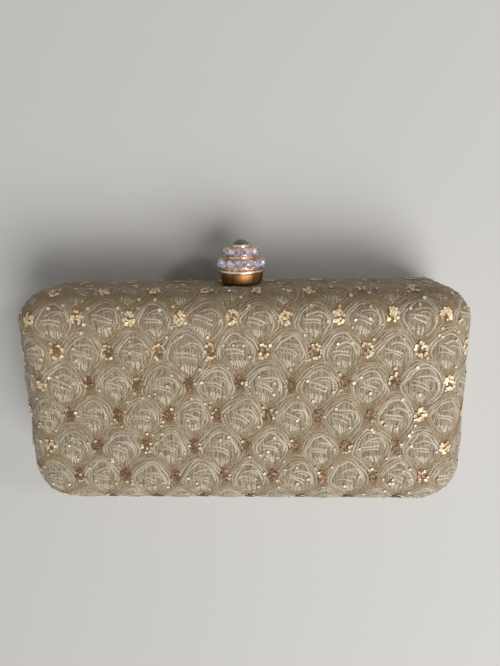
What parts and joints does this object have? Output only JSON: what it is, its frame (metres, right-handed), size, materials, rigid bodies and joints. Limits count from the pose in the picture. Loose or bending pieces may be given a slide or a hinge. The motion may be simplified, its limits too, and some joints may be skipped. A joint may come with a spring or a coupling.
{
  "type": "minaudiere",
  "caption": "Hard box clutch covered in embroidered fabric, hinged along one long edge and held shut by a jewelled push clasp.",
  "frame": {"origin": "centre of the back cover's flat face, which the shut case rests on", "axes": "+X along the width, +Y from the hinge edge to the clasp edge, +Z from the back face to the front face"},
  "size_m": [0.19, 0.1168, 0.048],
  "materials": {
    "embroidered_fabric": "raised metallic cord embroidery with glitter spots",
    "moulded_shell": "plain moulded",
    "foam": "thin foam sheet",
    "satin_lining": "satin on card",
    "gilt_metal": "polished gilt",
    "aged_brass": "polished brown-gold",
    "hardware_steel": "plated sheet",
    "crystal": "faceted clear crystal",
    "smoky_dome": "polished smoky cabochon"
  },
  "bodies": {
    "back_half": {"back_cover": "embroidered_fabric", "back_shell": "moulded_shell", "back_padding": "foam", "back_lining": "satin_lining", "back_frame": "gilt_metal", "hinge_leaf_back_left": "gilt_metal", "hinge_leaf_back_right": "gilt_metal", "hinge_pin_left": "hardware_steel", "hinge_pin_right": "hardware_steel", "hinge_rivets_back": "gilt_metal", "latch_bracket": "hardware_steel", "latch_pivot_pin": "hardware_steel", "latch_spring": "hardware_steel", "bracket_rivets": "hardware_steel", "strap_eye_left": "gilt_metal", "strap_eye_right": "gilt_metal", "strap_eye_rivets": "gilt_metal"},
    "front_half": {"front_cover": "embroidered_fabric", "front_shell": "moulded_shell", "front_padding": "foam", "front_lining": "satin_lining", "front_frame": "gilt_metal", "hinge_leaf_front_left": "gilt_metal", "hinge_leaf_front_right": "gilt_metal", "hinge_rivets_front": "gilt_metal", "catch_plate": "hardware_steel", "catch_rivets": "hardware_steel"},
    "latch": {"latch_lever": "hardware_steel", "clasp_screw": "hardware_steel", "clasp_spacer": "aged_brass", "clasp_collar": "aged_brass", "clasp_lower_setting": "gilt_metal", "clasp_lower_crystals": "crystal", "clasp_upper_setting": "gilt_metal", "clasp_upper_crystals": "crystal", "clasp_top_bezel": "gilt_metal", "clasp_dome": "smoky_dome"}
  },
  "joints": [
    {"name": "lid_hinge", "type": "hinge", "parent": "back_half", "child": "front_half", "pos_m": [0, -0.048, 0.024], "axis": [1, 0, 0], "range_deg": [0, 95]},
    {"name": "latch_press", "type": "hinge", "parent": "back_half", "child": "latch", "pos_m": [0, 0.0409, 0.0135], "axis": [-1, 0, 0], "range_deg": [0, 6.5], "stiffness_Nm_per_rad": 0.3, "springref_deg": -8.59, "deforming": ["latch_spring"]}
  ]
}
